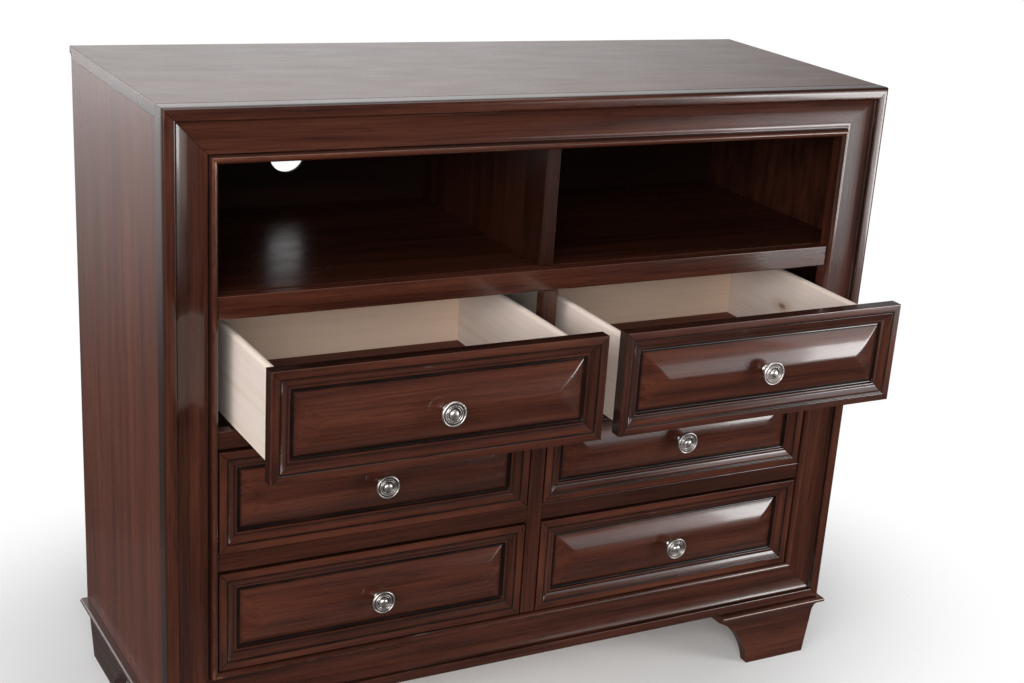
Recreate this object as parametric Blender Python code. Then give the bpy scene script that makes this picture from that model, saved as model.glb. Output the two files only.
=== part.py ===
"""Media chest: two open media bays over six drawers, in a moulded frame on bracket feet.

Lengths are in metres and +Z is up. The front faces -Y and +X is to the right, seen from the
front. The origin is on the floor, in the middle of the chest with its upper drawers pulled out.
Depths are measured back from the frame's front plane, and drops down from the chest's top.
"""
import math

import bmesh
import bpy
from mathutils import Matrix

# Fits
CLEARANCE = 0.0003
MITRE_PULL = CLEARANCE / math.sqrt(2.0)
OVERRUN = 0.010
ARRIS = 0.0006
WALL_RUN = 0.0004
MERGE_DISTANCE = 0.000001

# Face frame
FRAME_WIDTH = 1.200
FRAME_HEIGHT = 0.9245
FRAME_THICKNESS = 0.030
MEMBER_WIDTH = 0.078
MOULDING_DEPTH = 0.0154

# Carcass
CARCASS_DEPTH = 0.462
PANEL_THICKNESS = 0.019
TOP_INSET = 0.0005
SIDE_INSET = 0.0028
BACK_THICKNESS = 0.006
BACK_INSET = 0.004
BACK_RABBET = 0.008
SHELF_THICKNESS = 0.018
SHELF_PROUD = 0.001
DIVIDER_THICKNESS = 0.024
DIVIDER_HOUSING = 0.005
BOTTOM_PANEL_THICKNESS = 0.012
CABLE_HOLE_RADIUS = 0.030
CABLE_HOLE_X = -0.2574
CABLE_HOLE_DROP = 0.177

# Rails and stile between the openings
MEDIA_HEIGHT = 0.185
SHELF_RAIL_HEIGHT = 0.033
DRAWER_RAIL_HEIGHT = 0.027
RAIL_SETBACK = 0.0105
STILE_WIDTH = 0.0253
ROW_NAMES = ("upper", "middle", "lower")

# Drawer fronts, from the outer edge in
FRONT_THICKNESS = 0.021
FRONT_SIDE_GAP = 0.0026
FRONT_TOP_GAP = 0.0053
FRONT_BOTTOM_GAP = 0.0007
BAND_WIDTH = 0.0115
BAND_EASE = 0.0010
QUIRK_WIDTH = 0.0025
QUIRK_DEPTH = 0.0016
SLOPE_WIDTH = 0.0095
SLOPE_DEPTH = 0.0053
STEP_WIDTH = 0.0050
STEP_DEPTH = 0.0003
GROOVE_WIDTH = 0.0055
GROOVE_DEPTH = 0.0044
PILLOW_EDGE = 0.0012
PILLOW_RISE = 0.0119
RIDGE_WIDTH = 0.0020

# Drawer boxes
BOX_INSET = 0.0216
BOX_SIDE_THICKNESS = 0.012
BOX_TOP_DROP = 0.0202
BOX_LIFT = 0.0031
BOX_BACK_THICKNESS = 0.012
BOX_END_GAP = 0.020
BOX_BACK_DROP = 0.004
BOTTOM_LIFT = 0.013
BOTTOM_THICKNESS = 0.005
BOTTOM_GROOVE = 0.005
SIDE_ROUNDING = 0.004
ROUNDING_STEPS = 3
REST_TRAVEL = 0.2035

# Guides under the drawers
GUIDE_WIDTH = 0.022
GUIDE_DEPTH = 0.012
GUIDE_RUNNING_GAP = 0.0005
GUIDE_NOTCH_GAP = 0.002
RUNNER_WIDTH = 0.010
RUNNER_HEIGHT = 0.009
RACK_RAIL_THICKNESS = 0.019

# Knobs
KNOB_RADIUS = 0.0188
KNOB_PROUD = 0.0255
SCREW_RADIUS = 0.002
SCREW_HOLE_RADIUS = 0.0026
SCREW_HEAD_RADIUS = 0.0045
SCREW_HEAD_HEIGHT = 0.0025
KNOB_SIDES = 16
SCREW_HOLE_SIDES = 12

# Feet and base
FOOT_HEIGHT = 0.115
CAP_OVERHANG = 0.0096
LIP_THICKNESS = 0.0084
COVE_DROP = 0.0365
FOOT_INSET = 0.006
FOOT_TAPER = 0.0054
FOOT_RUN = 0.213
ARCH_RUN = 0.078
ARCH_START_DROP = 0.0145
ARCH_START_ANGLE = math.radians(25.0)
SIDE_ARCH_DROP = 0.043
SIDE_CROWN_RUN = 0.051
REAR_FOOT_RUN = 0.120
LIP_STEPS = 6
COVE_STEPS = 6
ARCH_STEPS = 10
HOLE_SIDES = 32

# Outline shares, from the frame's outer edge in: of the member's width, of the moulding's depth
FRAME_PROFILE_SHARES = (
    (0.000, 0.480), (0.008, 0.210), (0.030, 0.060), (0.070, 0.000), (0.110, 0.004),
    (0.150, 0.045), (0.178, 0.115), (0.186, 0.215), (0.208, 0.225), (0.218, 0.300),
    (0.236, 0.500), (0.254, 0.660), (0.275, 0.775), (0.340, 0.845), (0.430, 0.885),
    (0.520, 0.945), (0.620, 1.000), (0.680, 0.975), (0.730, 0.880), (0.780, 0.780),
    (0.846, 0.665), (0.856, 0.720), (0.868, 0.660), (0.874, 0.440), (0.890, 0.310),
    (0.915, 0.260), (0.950, 0.300), (0.980, 0.400), (1.000, 0.560),
)

# How far each pillow ring lies between its edge and its ridge, and how much it bulges
PILLOW_RING_SHARES = (0.10, 0.24, 0.40, 0.58, 0.78, 1.00)
PILLOW_BULGE_SHARE = 0.75
SLOPE_RING_SHARES = ((0.25, 0.36), (0.58, 0.70), (1.00, 1.00))

# Knob outline from its seat to its face: shares of its radius and of its height
KNOB_PROFILE_SHARES = (
    (0.40, 0.00), (0.42, 0.06), (0.31, 0.14), (0.29, 0.32), (0.36, 0.48), (0.58, 0.62),
    (0.86, 0.69), (0.97, 0.74), (1.00, 0.81), (0.97, 0.88), (0.91, 0.915), (0.85, 0.89),
    (0.80, 0.83), (0.71, 0.83), (0.67, 0.88), (0.61, 0.915), (0.54, 0.88), (0.50, 0.84),
    (0.45, 0.88), (0.39, 0.85), (0.34, 0.82), (0.29, 0.88), (0.20, 0.96), (0.00, 1.00),
)

# Finishes: linear colour, roughness, metallic
FINISHES = {
    "cherry": ((0.080, 0.021, 0.012), 0.35, 0.0),
    "cherry_front": ((0.095, 0.026, 0.014), 0.32, 0.0),
    "cherry_side": ((0.110, 0.060, 0.036), 0.40, 0.0),
    "dark_interior": ((0.022, 0.006, 0.005), 0.30, 0.0),
    "birch": ((0.640, 0.500, 0.380), 0.55, 0.0),
    "stained_bottom": ((0.110, 0.040, 0.020), 0.50, 0.0),
    "guide_wood": ((0.420, 0.290, 0.180), 0.60, 0.0),
    "nickel": ((0.520, 0.490, 0.450), 0.30, 1.0),
}

# Places worked out from the sizes above
TOP_Z = FOOT_HEIGHT + FRAME_HEIGHT
RIDGE_PROUD = (PILLOW_RISE + PILLOW_EDGE - GROOVE_DEPTH - STEP_DEPTH - SLOPE_DEPTH - QUIRK_DEPTH)
KNOB_REACH = RIDGE_PROUD + CLEARANCE + KNOB_PROUD
OPEN_REACH = REST_TRAVEL - RAIL_SETBACK + KNOB_REACH
FRAME_FRONT_Y = (OPEN_REACH - CARCASS_DEPTH) / 2.0
HALF_WIDTH = FRAME_WIDTH / 2.0
HALF_OPENING = HALF_WIDTH - MEMBER_WIDTH
PANEL_FRONT = FRAME_THICKNESS + CLEARANCE
BACK_FRONT = CARCASS_DEPTH - BACK_INSET - BACK_THICKNESS - CLEARANCE
SIDE_OUTER = HALF_WIDTH - SIDE_INSET
SIDE_INNER = SIDE_OUTER - PANEL_THICKNESS
RABBET_SIDE = SIDE_INNER + BACK_RABBET
RABBET_DROP = PANEL_THICKNESS - BACK_RABBET
RAIL_THICKNESS = FRAME_THICKNESS - RAIL_SETBACK
SHELF_TOP_DROP = MEMBER_WIDTH + MEDIA_HEIGHT - SHELF_PROUD
FIRST_ROW_DROP = MEMBER_WIDTH + MEDIA_HEIGHT + SHELF_RAIL_HEIGHT
OPENING_END_DROP = FRAME_HEIGHT - MEMBER_WIDTH
RAIL_COUNT = len(ROW_NAMES) - 1
ROW_HEIGHT = (OPENING_END_DROP - FIRST_ROW_DROP - RAIL_COUNT * DRAWER_RAIL_HEIGHT) / len(ROW_NAMES)
ROW_PITCH = ROW_HEIGHT + DRAWER_RAIL_HEIGHT
COLUMN_WIDTH = HALF_OPENING - STILE_WIDTH / 2.0
COLUMN_CENTRE = (HALF_OPENING + STILE_WIDTH / 2.0) / 2.0
FRONT_WIDTH = COLUMN_WIDTH - 2.0 * FRONT_SIDE_GAP
FRONT_HEIGHT = ROW_HEIGHT - FRONT_TOP_GAP - FRONT_BOTTOM_GAP
BOX_OUTER = FRONT_WIDTH / 2.0 - BOX_INSET
BOX_INNER = BOX_OUTER - BOX_SIDE_THICKNESS
BOX_FRONT = FRONT_THICKNESS + CLEARANCE
BOX_END = BACK_FRONT - BOX_END_GAP - RAIL_SETBACK
BOX_TOP = FRONT_HEIGHT / 2.0 - BOX_TOP_DROP
BOX_LOW = BOX_LIFT - FRONT_HEIGHT / 2.0
BOTTOM_UNDER = BOX_LOW + BOTTOM_LIFT
BOTTOM_UPPER = BOTTOM_UNDER + BOTTOM_THICKNESS
LIP_RADIUS = LIP_THICKNESS / 2.0
BASE_TOP = FOOT_HEIGHT - CLEARANCE
FOOT_BOARD_BACK = FRAME_THICKNESS


def depth_y(depth):
    """Y of a depth behind the frame's front plane."""
    return FRAME_FRONT_Y + depth


def drop_z(drop):
    """Z of a drop below the chest's top."""
    return TOP_Z - drop


def clear_scene():
    """Removes what the scene holds."""
    for item in list(bpy.data.objects):
        bpy.data.objects.remove(item, do_unlink=True)


def finish_material(name, finish):
    """A plain Principled material in one of the finishes."""
    colour, roughness, metallic = FINISHES[finish]
    material = bpy.data.materials.new(name)
    material.use_nodes = True
    shader = material.node_tree.nodes["Principled BSDF"]
    shader.inputs["Base Color"].default_value = (*colour, 1.0)
    shader.inputs["Roughness"].default_value = roughness
    shader.inputs["Metallic"].default_value = metallic
    return material


def add_empty(name, location):
    """An empty that carries one group of pieces."""
    empty = bpy.data.objects.new(name, None)
    empty.location = location
    bpy.context.scene.collection.objects.link(empty)
    return empty


def add_piece(name, bm, finish, parent, location=(0.0, 0.0, 0.0)):
    """Turns a bmesh into a named piece under its parent."""
    bmesh.ops.recalc_face_normals(bm, faces=bm.faces)
    mesh = bpy.data.meshes.new(name)
    bm.to_mesh(mesh)
    bm.free()
    if finish is not None:
        mesh.materials.append(finish_material(name, finish))
    piece = bpy.data.objects.new(name, mesh)
    bpy.context.scene.collection.objects.link(piece)
    piece.parent = parent
    piece.location = location
    return piece


def ease_edges(piece):
    """Breaks a board's sharp arrises."""
    bevel = piece.modifiers.new("arrises", "BEVEL")
    bevel.width = ARRIS
    bevel.segments = 1
    bevel.limit_method = "ANGLE"


def cut(piece, cutter, operation="DIFFERENCE"):
    """Cuts a hidden tool shape from a piece, or joins it on."""
    cutter.hide_render = True
    cutter.display_type = "WIRE"
    boolean = piece.modifiers.new(cutter.name, "BOOLEAN")
    boolean.operation = operation
    boolean.solver = "EXACT"
    boolean.object = cutter


def prism(outline, axis, start, end):
    """A closed outline carried straight along one axis.

    The outline's pairs are in the other two axes, in the order X, Y, Z.
    """
    bm = bmesh.new()
    corners = [list(point) for point in outline]
    for corner in corners:
        corner.insert(axis, start)
    cap = bm.faces.new([bm.verts.new(corner) for corner in corners])
    swept = bmesh.ops.extrude_face_region(bm, geom=[cap])
    for item in swept["geom"]:
        if isinstance(item, bmesh.types.BMVert):
            item.co[axis] = end
    return bm


def cuboid(low, high):
    """A box between two corners."""
    bm = bmesh.new()
    size = [b - a for a, b in zip(low, high)]
    centre = [(a + b) / 2.0 for a, b in zip(low, high)]
    matrix = Matrix.LocRotScale(centre, None, size)
    bmesh.ops.create_cube(bm, size=1.0, matrix=matrix)
    return bm


def add_board(name, low, high, finish, parent):
    """A plain board with broken arrises, its own origin at its middle."""
    centre = [(a + b) / 2.0 for a, b in zip(low, high)]
    half = [(b - a) / 2.0 for a, b in zip(low, high)]
    bm = cuboid([-h for h in half], half)
    board = add_piece(name, bm, finish, parent, centre)
    ease_edges(board)
    return board


def frame_member(length):
    """One mitred member: its outer edge on the X axis, its inner edge towards -Z."""
    outline = [(s * MEMBER_WIDTH, d * MOULDING_DEPTH) for s, d in FRAME_PROFILE_SHARES]
    outline += [(MEMBER_WIDTH, FRAME_THICKNESS), (0.0, FRAME_THICKNESS)]
    half = length / 2.0 - MITRE_PULL
    bm = bmesh.new()
    end = bm.faces.new([bm.verts.new((s - half, d, -s)) for s, d in outline])
    swept = bmesh.ops.extrude_face_region(bm, geom=[end])
    for item in swept["geom"]:
        if isinstance(item, bmesh.types.BMVert):
            item.co.x = -item.co.x
    return bm


def build_frame(chest):
    """The four mitred members of the face frame."""
    middle = drop_z(FRAME_HEIGHT / 2.0)
    members = (
        ("frame_top_rail", FRAME_WIDTH, 0.0, TOP_Z, 0.0),
        ("frame_right_stile", FRAME_HEIGHT, HALF_WIDTH, middle, 1.0),
        ("frame_bottom_rail", FRAME_WIDTH, 0.0, drop_z(FRAME_HEIGHT), 2.0),
        ("frame_left_stile", FRAME_HEIGHT, -HALF_WIDTH, middle, 3.0),
    )
    for name, length, x, z, quarter_turns in members:
        place = (x, depth_y(0.0), z)
        member = add_piece(name, frame_member(length), "cherry", chest, place)
        member.rotation_euler = (0.0, quarter_turns * math.pi / 2.0, 0.0)


def build_top(chest):
    """The top panel, with a rabbet under its rear edge for the back."""
    outline = (
        (depth_y(PANEL_FRONT), TOP_Z),
        (depth_y(CARCASS_DEPTH), TOP_Z),
        (depth_y(CARCASS_DEPTH), drop_z(RABBET_DROP)),
        (depth_y(BACK_FRONT), drop_z(RABBET_DROP)),
        (depth_y(BACK_FRONT), drop_z(PANEL_THICKNESS)),
        (depth_y(PANEL_FRONT), drop_z(PANEL_THICKNESS)),
    )
    reach = HALF_WIDTH - TOP_INSET
    top = add_piece("top_panel", prism(outline, 0, -reach, reach), "cherry_side", chest)
    ease_edges(top)


def build_side_panel(chest, name, side):
    """A side panel, with a rabbet in its inner rear edge for the back."""
    outline = (
        (side * SIDE_INNER, depth_y(PANEL_FRONT)),
        (side * SIDE_OUTER, depth_y(PANEL_FRONT)),
        (side * SIDE_OUTER, depth_y(CARCASS_DEPTH)),
        (side * RABBET_SIDE, depth_y(CARCASS_DEPTH)),
        (side * RABBET_SIDE, depth_y(BACK_FRONT)),
        (side * SIDE_INNER, depth_y(BACK_FRONT)),
    )
    bm = prism(outline, 2, FOOT_HEIGHT, drop_z(PANEL_THICKNESS + CLEARANCE))
    ease_edges(add_piece(name, bm, "cherry_side", chest))


def build_back(chest):
    """The back panel in its rabbets, with the cable hole behind the left bay."""
    reach = RABBET_SIDE - CLEARANCE
    front = depth_y(BACK_FRONT + CLEARANCE)
    low = (-reach, front, FOOT_HEIGHT)
    high = (reach, front + BACK_THICKNESS, drop_z(RABBET_DROP + CLEARANCE))
    back = add_piece("back_panel", cuboid(low, high), "dark_interior", chest)
    bm = bmesh.new()
    bmesh.ops.create_cone(
        bm, cap_ends=True, segments=HOLE_SIDES, radius1=CABLE_HOLE_RADIUS,
        radius2=CABLE_HOLE_RADIUS, depth=BACK_THICKNESS + 2.0 * OVERRUN)
    place = (CABLE_HOLE_X, front + BACK_THICKNESS / 2.0, drop_z(CABLE_HOLE_DROP))
    cutter = add_piece("cable_hole_cutter", bm, None, chest, place)
    cutter.rotation_euler = (math.pi / 2.0, 0.0, 0.0)
    cut(back, cutter)


def build_inner_boards(chest):
    """The media shelf, the divider housed in it, and the bottom panel under the lowest guides."""
    reach = SIDE_INNER - CLEARANCE
    front = depth_y(PANEL_FRONT)
    rear = depth_y(BACK_FRONT)
    shelf_top = drop_z(SHELF_TOP_DROP)
    shelf_low = shelf_top - SHELF_THICKNESS
    housing_floor = shelf_top - DIVIDER_HOUSING
    half = DIVIDER_THICKNESS / 2.0
    wall = half + CLEARANCE
    outline = (
        (-reach, shelf_low), (reach, shelf_low), (reach, shelf_top), (wall, shelf_top),
        (wall, housing_floor), (-wall, housing_floor), (-wall, shelf_top), (-reach, shelf_top),
    )
    ease_edges(add_piece("media_shelf", prism(outline, 1, front, rear), "dark_interior", chest))
    add_board(
        "media_divider", (-half, front, housing_floor + CLEARANCE),
        (half, rear, drop_z(PANEL_THICKNESS + CLEARANCE)), "dark_interior", chest)
    floor_top = drop_z(OPENING_END_DROP + DRAWER_RAIL_HEIGHT + CLEARANCE)
    add_board(
        "bottom_panel", (-reach, front, floor_top - BOTTOM_PANEL_THICKNESS),
        (reach, rear, floor_top), "guide_wood", chest)


def build_rails(chest):
    """The shelf's front rail, the centre stile and the short rails between the drawers."""
    front = depth_y(RAIL_SETBACK)
    rear = front + RAIL_THICKNESS
    reach = HALF_OPENING - CLEARANCE
    rail_low = drop_z(FIRST_ROW_DROP)
    add_board(
        "shelf_front_rail", (-reach, front, rail_low), (reach, rear, rail_low + SHELF_RAIL_HEIGHT),
        "cherry", chest)
    half = STILE_WIDTH / 2.0
    stile_low = drop_z(OPENING_END_DROP) + CLEARANCE
    add_board(
        "centre_stile", (-half, front, stile_low), (half, rear, rail_low - CLEARANCE),
        "cherry", chest)
    for row, level in enumerate(ROW_NAMES[:RAIL_COUNT]):
        top = drop_z(FIRST_ROW_DROP + ROW_HEIGHT + row * ROW_PITCH)
        for side, name in ((-1.0, "left"), (1.0, "right")):
            ends = sorted((side * (half + CLEARANCE), side * reach))
            add_board(
                f"drawer_rail_{level}_{name}", (ends[0], front, top - DRAWER_RAIL_HEIGHT),
                (ends[1], rear, top), "cherry", chest)


def build_guide_rack(chest, row, level):
    """A rear cross rail with the two centre guides that one row of drawers runs on."""
    rail_top = drop_z(FIRST_ROW_DROP + ROW_HEIGHT + row * ROW_PITCH)
    guide_top = rail_top + FRONT_BOTTOM_GAP + BOX_LIFT + BOTTOM_LIFT - CLEARANCE
    reach = SIDE_INNER - CLEARANCE
    rear = depth_y(BACK_FRONT)
    rail_front = rear - RACK_RAIL_THICKNESS
    bm = cuboid((-reach, rail_front, rail_top - DRAWER_RAIL_HEIGHT), (reach, rear, rail_top))
    rack = add_piece(f"guide_rack_{level}", bm, "guide_wood", chest)
    guide_end = (rail_front + rear) / 2.0
    notch = depth_y(RAIL_SETBACK + FRONT_THICKNESS + GUIDE_NOTCH_GAP)
    outline = (
        (depth_y(PANEL_FRONT), rail_top - GUIDE_DEPTH),
        (guide_end, rail_top - GUIDE_DEPTH),
        (guide_end, guide_top),
        (notch, guide_top),
        (notch, rail_top),
        (depth_y(PANEL_FRONT), rail_top),
    )
    for side in (-1.0, 1.0):
        ends = (side * COLUMN_CENTRE - GUIDE_WIDTH / 2.0, side * COLUMN_CENTRE + GUIDE_WIDTH / 2.0)
        guide = add_piece(f"{rack.name}_guide_{int(side)}", prism(outline, 0, *ends), None, chest)
        cut(rack, guide, "UNION")


def drawer_front():
    """A drawer front: flat band, quirk, slope, step and groove round a pillowed panel.

    Its band is on the plane y = 0 and its middle is on the Y axis.
    """
    half = (FRONT_WIDTH / 2.0, FRONT_HEIGHT / 2.0)
    bm = cuboid((-half[0], BAND_EASE, -half[1]), (half[0], FRONT_THICKNESS, half[1]))
    face = min(bm.faces, key=lambda item: item.calc_center_median().y)
    steps = [(BAND_EASE, BAND_EASE), (BAND_WIDTH - BAND_EASE, 0.0), (WALL_RUN, -QUIRK_DEPTH)]
    steps.append((QUIRK_WIDTH - WALL_RUN, 0.0))
    run_before = fall_before = 0.0
    for run_share, fall_share in SLOPE_RING_SHARES:
        run = (run_share - run_before) * SLOPE_WIDTH
        steps.append((run, (fall_before - fall_share) * SLOPE_DEPTH))
        run_before, fall_before = run_share, fall_share
    steps += [(STEP_WIDTH, -STEP_DEPTH), (WALL_RUN, -GROOVE_DEPTH)]
    steps += [(GROOVE_WIDTH, 0.0), (WALL_RUN, PILLOW_EDGE)]
    pillow_run = half[1] - sum(step[0] for step in steps) - RIDGE_WIDTH / 2.0
    before = height_before = 0.0
    for share in PILLOW_RING_SHARES:
        height = PILLOW_RISE * share * (1.0 + PILLOW_BULGE_SHARE * (1.0 - share))
        steps.append(((share - before) * pillow_run, height - height_before))
        before, height_before = share, height
    for run, rise in steps:
        bmesh.ops.inset_individual(bm, faces=[face], thickness=run, depth=rise, use_even_offset=True)
    return bm


def screw_hole_cutter():
    """The hole for the knob's screw, through the front along Y."""
    bm = bmesh.new()
    length = 2.0 * (FRONT_THICKNESS + OVERRUN)
    turn = Matrix.Rotation(math.pi / 2.0, 3, "X")
    bmesh.ops.create_cone(
        bm, cap_ends=True, segments=SCREW_HOLE_SIDES, radius1=SCREW_HOLE_RADIUS,
        radius2=SCREW_HOLE_RADIUS, depth=length)
    bmesh.ops.rotate(bm, verts=bm.verts, matrix=turn)
    return bm


def knob_and_screw():
    """A ringed knob turned about the Y axis, with its screw through the front."""
    seat = -(RIDGE_PROUD + CLEARANCE)
    head_front = FRONT_THICKNESS + CLEARANCE
    head_back = head_front + SCREW_HEAD_HEIGHT
    outline = [(0.0, head_back), (SCREW_HEAD_RADIUS, head_back), (SCREW_HEAD_RADIUS, head_front)]
    outline += [(SCREW_RADIUS, head_front), (SCREW_RADIUS, seat)]
    outline += [(r * KNOB_RADIUS, seat - h * KNOB_PROUD) for r, h in KNOB_PROFILE_SHARES]
    bm = bmesh.new()
    verts = [bm.verts.new((r, y, 0.0)) for r, y in outline]
    edges = [bm.edges.new(pair) for pair in zip(verts, verts[1:])]
    bmesh.ops.spin(
        bm, geom=verts + edges, cent=(0.0, 0.0, 0.0), axis=(0.0, 1.0, 0.0),
        dvec=(0.0, 0.0, 0.0), angle=2.0 * math.pi, steps=KNOB_SIDES, use_merge=True)
    bmesh.ops.remove_doubles(bm, verts=bm.verts, dist=MERGE_DISTANCE)
    return bm


def box_side(side):
    """A drawer side: rounded top edge, groove near the lower edge for the bottom."""
    outer, inner = side * BOX_OUTER, side * BOX_INNER
    groove = side * (BOX_INNER + BOTTOM_GROOVE)
    shoulder = BOX_TOP - SIDE_ROUNDING
    outline = [(outer, BOX_LOW), (outer, shoulder)]
    angles = [math.pi / 2.0 * step / ROUNDING_STEPS for step in range(1, ROUNDING_STEPS + 1)]
    for wall, turn, order in ((outer, side, angles), (inner, -side, angles[::-1])):
        outline += [(wall - turn * SIDE_ROUNDING * (1.0 - math.cos(angle)),
                     shoulder + SIDE_ROUNDING * math.sin(angle)) for angle in order]
    outline += [
        (inner, shoulder),
        (inner, BOTTOM_UPPER + CLEARANCE),
        (groove, BOTTOM_UPPER + CLEARANCE),
        (groove, BOTTOM_UNDER - CLEARANCE),
        (inner, BOTTOM_UNDER - CLEARANCE),
        (inner, BOX_LOW),
    ]
    return prism(outline, 1, BOX_FRONT, BOX_END)


def box_bottom():
    """A drawer bottom in the sides' grooves, with a pair of runners beside the guide."""
    edge = BOX_INNER + BOTTOM_GROOVE - CLEARANCE
    near = GUIDE_WIDTH / 2.0 + GUIDE_RUNNING_GAP
    far = near + RUNNER_WIDTH
    runner_low = BOTTOM_UNDER - RUNNER_HEIGHT
    outline = (
        (-edge, BOTTOM_UPPER), (-edge, BOTTOM_UNDER), (-far, BOTTOM_UNDER), (-far, runner_low),
        (-near, runner_low), (-near, BOTTOM_UNDER), (near, BOTTOM_UNDER), (near, runner_low),
        (far, runner_low), (far, BOTTOM_UNDER), (edge, BOTTOM_UNDER), (edge, BOTTOM_UPPER),
    )
    return prism(outline, 1, BOX_FRONT, BOX_END)


def build_drawer(chest, row, level, side, side_name):
    """One drawer under an empty that lies on its slide's axis."""
    name = f"drawer_{level}_{side_name}"
    pulled_out = REST_TRAVEL if row == 0 else 0.0
    middle = drop_z(FIRST_ROW_DROP + row * ROW_PITCH + FRONT_TOP_GAP + FRONT_HEIGHT / 2.0)
    place = (side * COLUMN_CENTRE, depth_y(RAIL_SETBACK - pulled_out), middle)
    slide = add_empty(f"{name}_slide", place)
    slide.parent = chest
    front = add_piece(f"{name}_front", drawer_front(), "cherry_front", slide)
    cutter = add_piece(f"{name}_screw_hole", screw_hole_cutter(), None, slide)
    cut(front, cutter)
    knob = add_piece(f"{name}_knob", knob_and_screw(), "nickel", slide)
    knob.data.shade_smooth()
    knob.data.set_sharp_from_angle(angle=math.radians(50.0))
    add_piece(f"{name}_side_left", box_side(-1.0), "birch", slide)
    add_piece(f"{name}_side_right", box_side(1.0), "birch", slide)
    low = (CLEARANCE - BOX_INNER, BOX_END - BOX_BACK_THICKNESS, BOTTOM_UPPER + CLEARANCE)
    high = (BOX_INNER - CLEARANCE, BOX_END, BOX_TOP - BOX_BACK_DROP)
    add_board(f"{name}_back", low, high, "birch", slide)
    add_piece(f"{name}_bottom", box_bottom(), "stained_bottom", slide)


def base_outline():
    """The cap, cove and foot board in section: inset from the frame's face, drop from the cap's top."""
    nose = LIP_RADIUS - CAP_OVERHANG
    outline = []
    for step in range(LIP_STEPS + 1):
        angle = math.pi * step / LIP_STEPS
        outline.append((nose - LIP_RADIUS * math.sin(angle), LIP_RADIUS * (1.0 - math.cos(angle))))
    cove_run = FOOT_INSET - nose
    cove_fall = COVE_DROP - LIP_THICKNESS
    for step in range(1, COVE_STEPS + 1):
        angle = math.pi / 2.0 * step / COVE_STEPS
        run = nose + cove_run * math.sin(angle)
        outline.append((run, COVE_DROP - cove_fall * math.cos(angle)))
    outline.append((FOOT_INSET + FOOT_TAPER, BASE_TOP))
    outline += [(FOOT_BOARD_BACK, BASE_TOP), (FOOT_BOARD_BACK, 0.0)]
    return outline


def arch_arc(run, fall):
    """Points of the circular arc that leaves at the start angle and ends run along and fall down."""
    chord = math.hypot(run, fall)
    sweep = math.atan2(fall, run) - ARCH_START_ANGLE
    radius = chord / (2.0 * math.sin(sweep))
    points = []
    for step in range(ARCH_STEPS + 1):
        heading = ARCH_START_ANGLE + 2.0 * sweep * step / ARCH_STEPS
        along = radius * (math.sin(heading) - math.sin(ARCH_START_ANGLE))
        down = radius * (math.cos(ARCH_START_ANGLE) - math.cos(heading))
        points.append((along, down))
    return points


def build_front_foot(chest, name, side):
    """A front bracket foot: mitred at the corner, square at its inner end, arched below."""
    bm = bmesh.new()
    outline = base_outline()
    inner_end = HALF_WIDTH - FOOT_RUN
    start = [bm.verts.new((side * inner_end, depth_y(i), BASE_TOP - d)) for i, d in outline]
    end = bm.faces.new(start)
    swept = bmesh.ops.extrude_face_region(bm, geom=[end])
    for item in swept["geom"]:
        if isinstance(item, bmesh.types.BMVert):
            inset = item.co.y - depth_y(0.0)
            item.co.x = side * (HALF_WIDTH - inset - MITRE_PULL)
    foot = add_piece(name, bm, "cherry", chest)
    arc = arch_arc(ARCH_RUN, BASE_TOP - ARCH_START_DROP)
    arch = [(side * (inner_end + a), BASE_TOP - ARCH_START_DROP - d) for a, d in arc]
    arch.append((side * (inner_end + ARCH_RUN), -OVERRUN))
    arch.append((side * (inner_end - OVERRUN), -OVERRUN))
    arch.append((side * (inner_end - OVERRUN), BASE_TOP - ARCH_START_DROP))
    ends = (depth_y(-CAP_OVERHANG - OVERRUN), depth_y(FOOT_BOARD_BACK + OVERRUN))
    cut(foot, add_piece(f"{name}_arch", prism(arch, 1, *ends), None, chest))


def build_side_base(chest, name, side):
    """A side base board: mitred at the front corner, flush with the back, arched between feet."""
    bm = bmesh.new()
    rear = depth_y(CARCASS_DEPTH)
    start = [bm.verts.new((side * (HALF_WIDTH - i), rear, BASE_TOP - d)) for i, d in base_outline()]
    end = bm.faces.new(start)
    swept = bmesh.ops.extrude_face_region(bm, geom=[end])
    for item in swept["geom"]:
        if isinstance(item, bmesh.types.BMVert):
            item.co.y = depth_y(HALF_WIDTH - abs(item.co.x) + MITRE_PULL)
    base = add_piece(name, bm, "cherry", chest)
    arc = arch_arc(ARCH_RUN, BASE_TOP - SIDE_ARCH_DROP)
    high = BASE_TOP - SIDE_ARCH_DROP
    rear_foot = depth_y(CARCASS_DEPTH - REAR_FOOT_RUN - ARCH_RUN)
    front_foot = rear_foot - SIDE_CROWN_RUN
    arch = [(front_foot - a, high - d) for a, d in reversed(arc)]
    arch += [(rear_foot + a, high - d) for a, d in arc]
    arch += [(rear_foot + ARCH_RUN, -OVERRUN), (front_foot - ARCH_RUN, -OVERRUN)]
    ends = (side * (HALF_WIDTH - FOOT_BOARD_BACK - OVERRUN), side * (HALF_WIDTH + OVERRUN + CAP_OVERHANG))
    cut(base, add_piece(f"{name}_arch", prism(arch, 0, *ends), None, chest))


def main():
    """Builds the chest."""
    clear_scene()
    chest = add_empty("chest", (0.0, 0.0, 0.0))
    build_frame(chest)
    build_top(chest)
    build_back(chest)
    build_inner_boards(chest)
    build_rails(chest)
    for row, level in enumerate(ROW_NAMES):
        build_guide_rack(chest, row, level)
    for side, side_name in ((-1.0, "left"), (1.0, "right")):
        build_side_panel(chest, f"side_panel_{side_name}", side)
        build_front_foot(chest, f"foot_front_{side_name}", side)
        build_side_base(chest, f"base_side_{side_name}", side)
        for row, level in enumerate(ROW_NAMES):
            build_drawer(chest, row, level, side, side_name)


main()
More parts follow.
